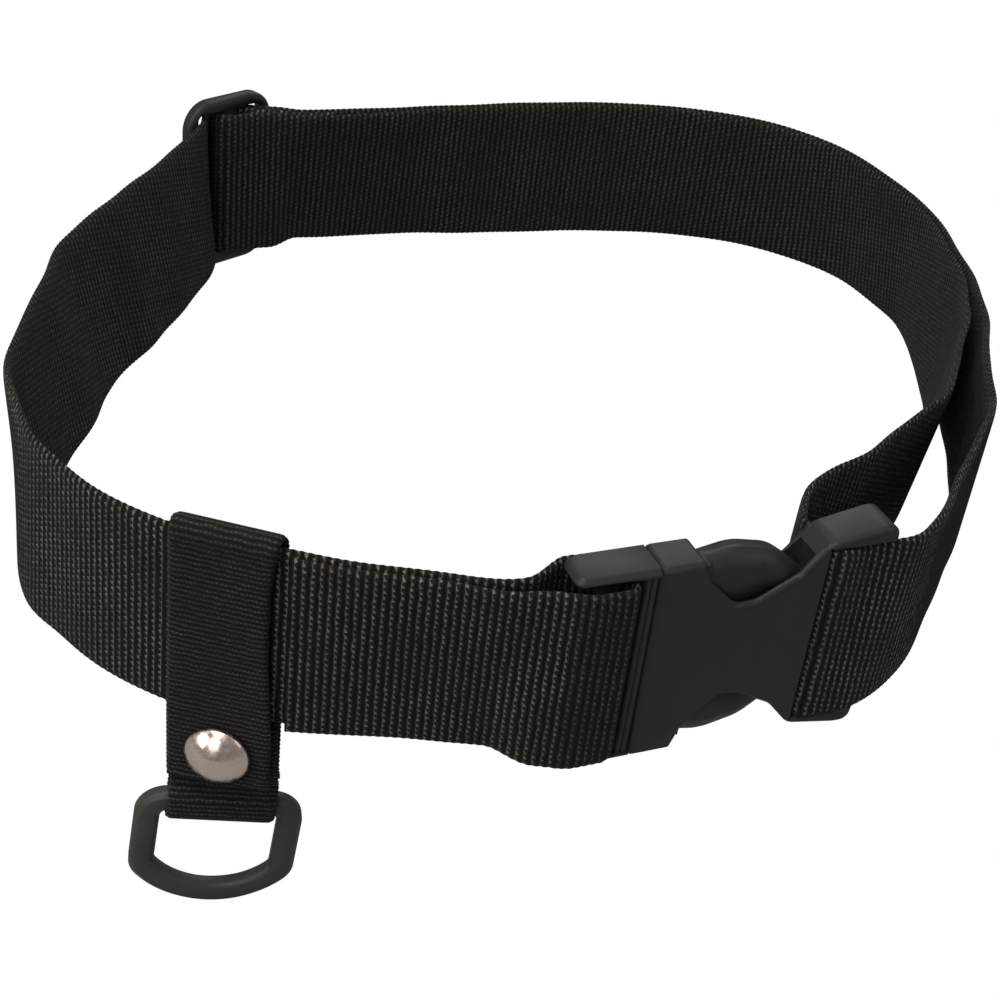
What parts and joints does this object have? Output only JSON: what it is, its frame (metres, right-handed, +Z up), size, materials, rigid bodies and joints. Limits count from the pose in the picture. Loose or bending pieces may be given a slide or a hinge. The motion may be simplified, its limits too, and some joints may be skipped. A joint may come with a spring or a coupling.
{
  "type": "dive weight belt",
  "caption": "Black webbing waist belt with a side-release buckle, a sewn-in length adjuster and a webbing hanger, closed by a press stud, that carries a D-ring.",
  "frame": {"origin": "middle of the waist loop, half way up the webbing", "axes": "+Z up along the wearer, +Y towards the wearer's back, +X towards the right of the belt as seen from the front"},
  "size_m": [0.2659, 0.3114, 0.1169],
  "materials": {
    "webbing": "matt",
    "hanger_webbing": "matt",
    "thread": "matt",
    "buckle_plastic": "satin",
    "ring_plastic": "satin",
    "snap_metal": "polished"
  },
  "bodies": {
    "socket_side": {"webbing_outer_layer": "webbing", "webbing_inner_layer": "webbing", "buckle_socket": "buckle_plastic", "tri_glide": "buckle_plastic", "tail_stitch": "thread"},
    "plug_side": {"webbing_left_side": "webbing", "webbing_front_run": "webbing", "buckle_plug": "buckle_plastic", "box_stitch": "thread"},
    "upper_prong_body": {"upper_prong": "buckle_plastic"},
    "lower_prong_body": {"lower_prong": "buckle_plastic"},
    "hanger": {"hanger_strap": "hanger_webbing", "snap_stud": "snap_metal", "snap_eyelet": "snap_metal"},
    "flap": {"hanger_flap": "hanger_webbing", "snap_cap": "snap_metal", "snap_socket": "snap_metal"},
    "ring": {"d_ring": "ring_plastic"}
  },
  "joints": [
    {"name": "buckle_release", "type": "slide", "parent": "socket_side", "child": "plug_side", "axis": [-0.9011, -0.4337, 0], "range_m": [0, 0.046], "deforming": ["upper_prong", "lower_prong"]},
    {"name": "upper_prong_flex", "type": "hinge", "parent": "plug_side", "child": "upper_prong_body", "pos_m": [0.03446, -0.13716, 0.015], "axis": [-0.4337, 0.9011, 0], "range_deg": [0, 10], "stiffness_Nm_per_rad": 0.5},
    {"name": "lower_prong_flex", "type": "hinge", "parent": "plug_side", "child": "lower_prong_body", "pos_m": [0.03446, -0.13716, -0.015], "axis": [0.4337, -0.9011, 0], "range_deg": [0, 10], "stiffness_Nm_per_rad": 0.5},
    {"name": "hanger_travel", "type": "hinge", "parent": "plug_side", "child": "hanger", "pos_m": [-0.04942, -0.07345, 0], "axis": [0, 0, 1], "range_deg": [-28, 0]},
    {"name": "flap_open", "type": "hinge", "parent": "hanger", "child": "flap", "pos_m": [-0.05935, -0.14813, 0.02773], "axis": [-0.9913, 0.1317, 0], "range_deg": [0, 150]},
    {"name": "ring_swing", "type": "hinge", "parent": "hanger", "child": "ring", "pos_m": [-0.05998, -0.14602, -0.054], "axis": [-0.9712, -0.2141, 0.1045], "range_deg": [-120, 95]}
  ]
}
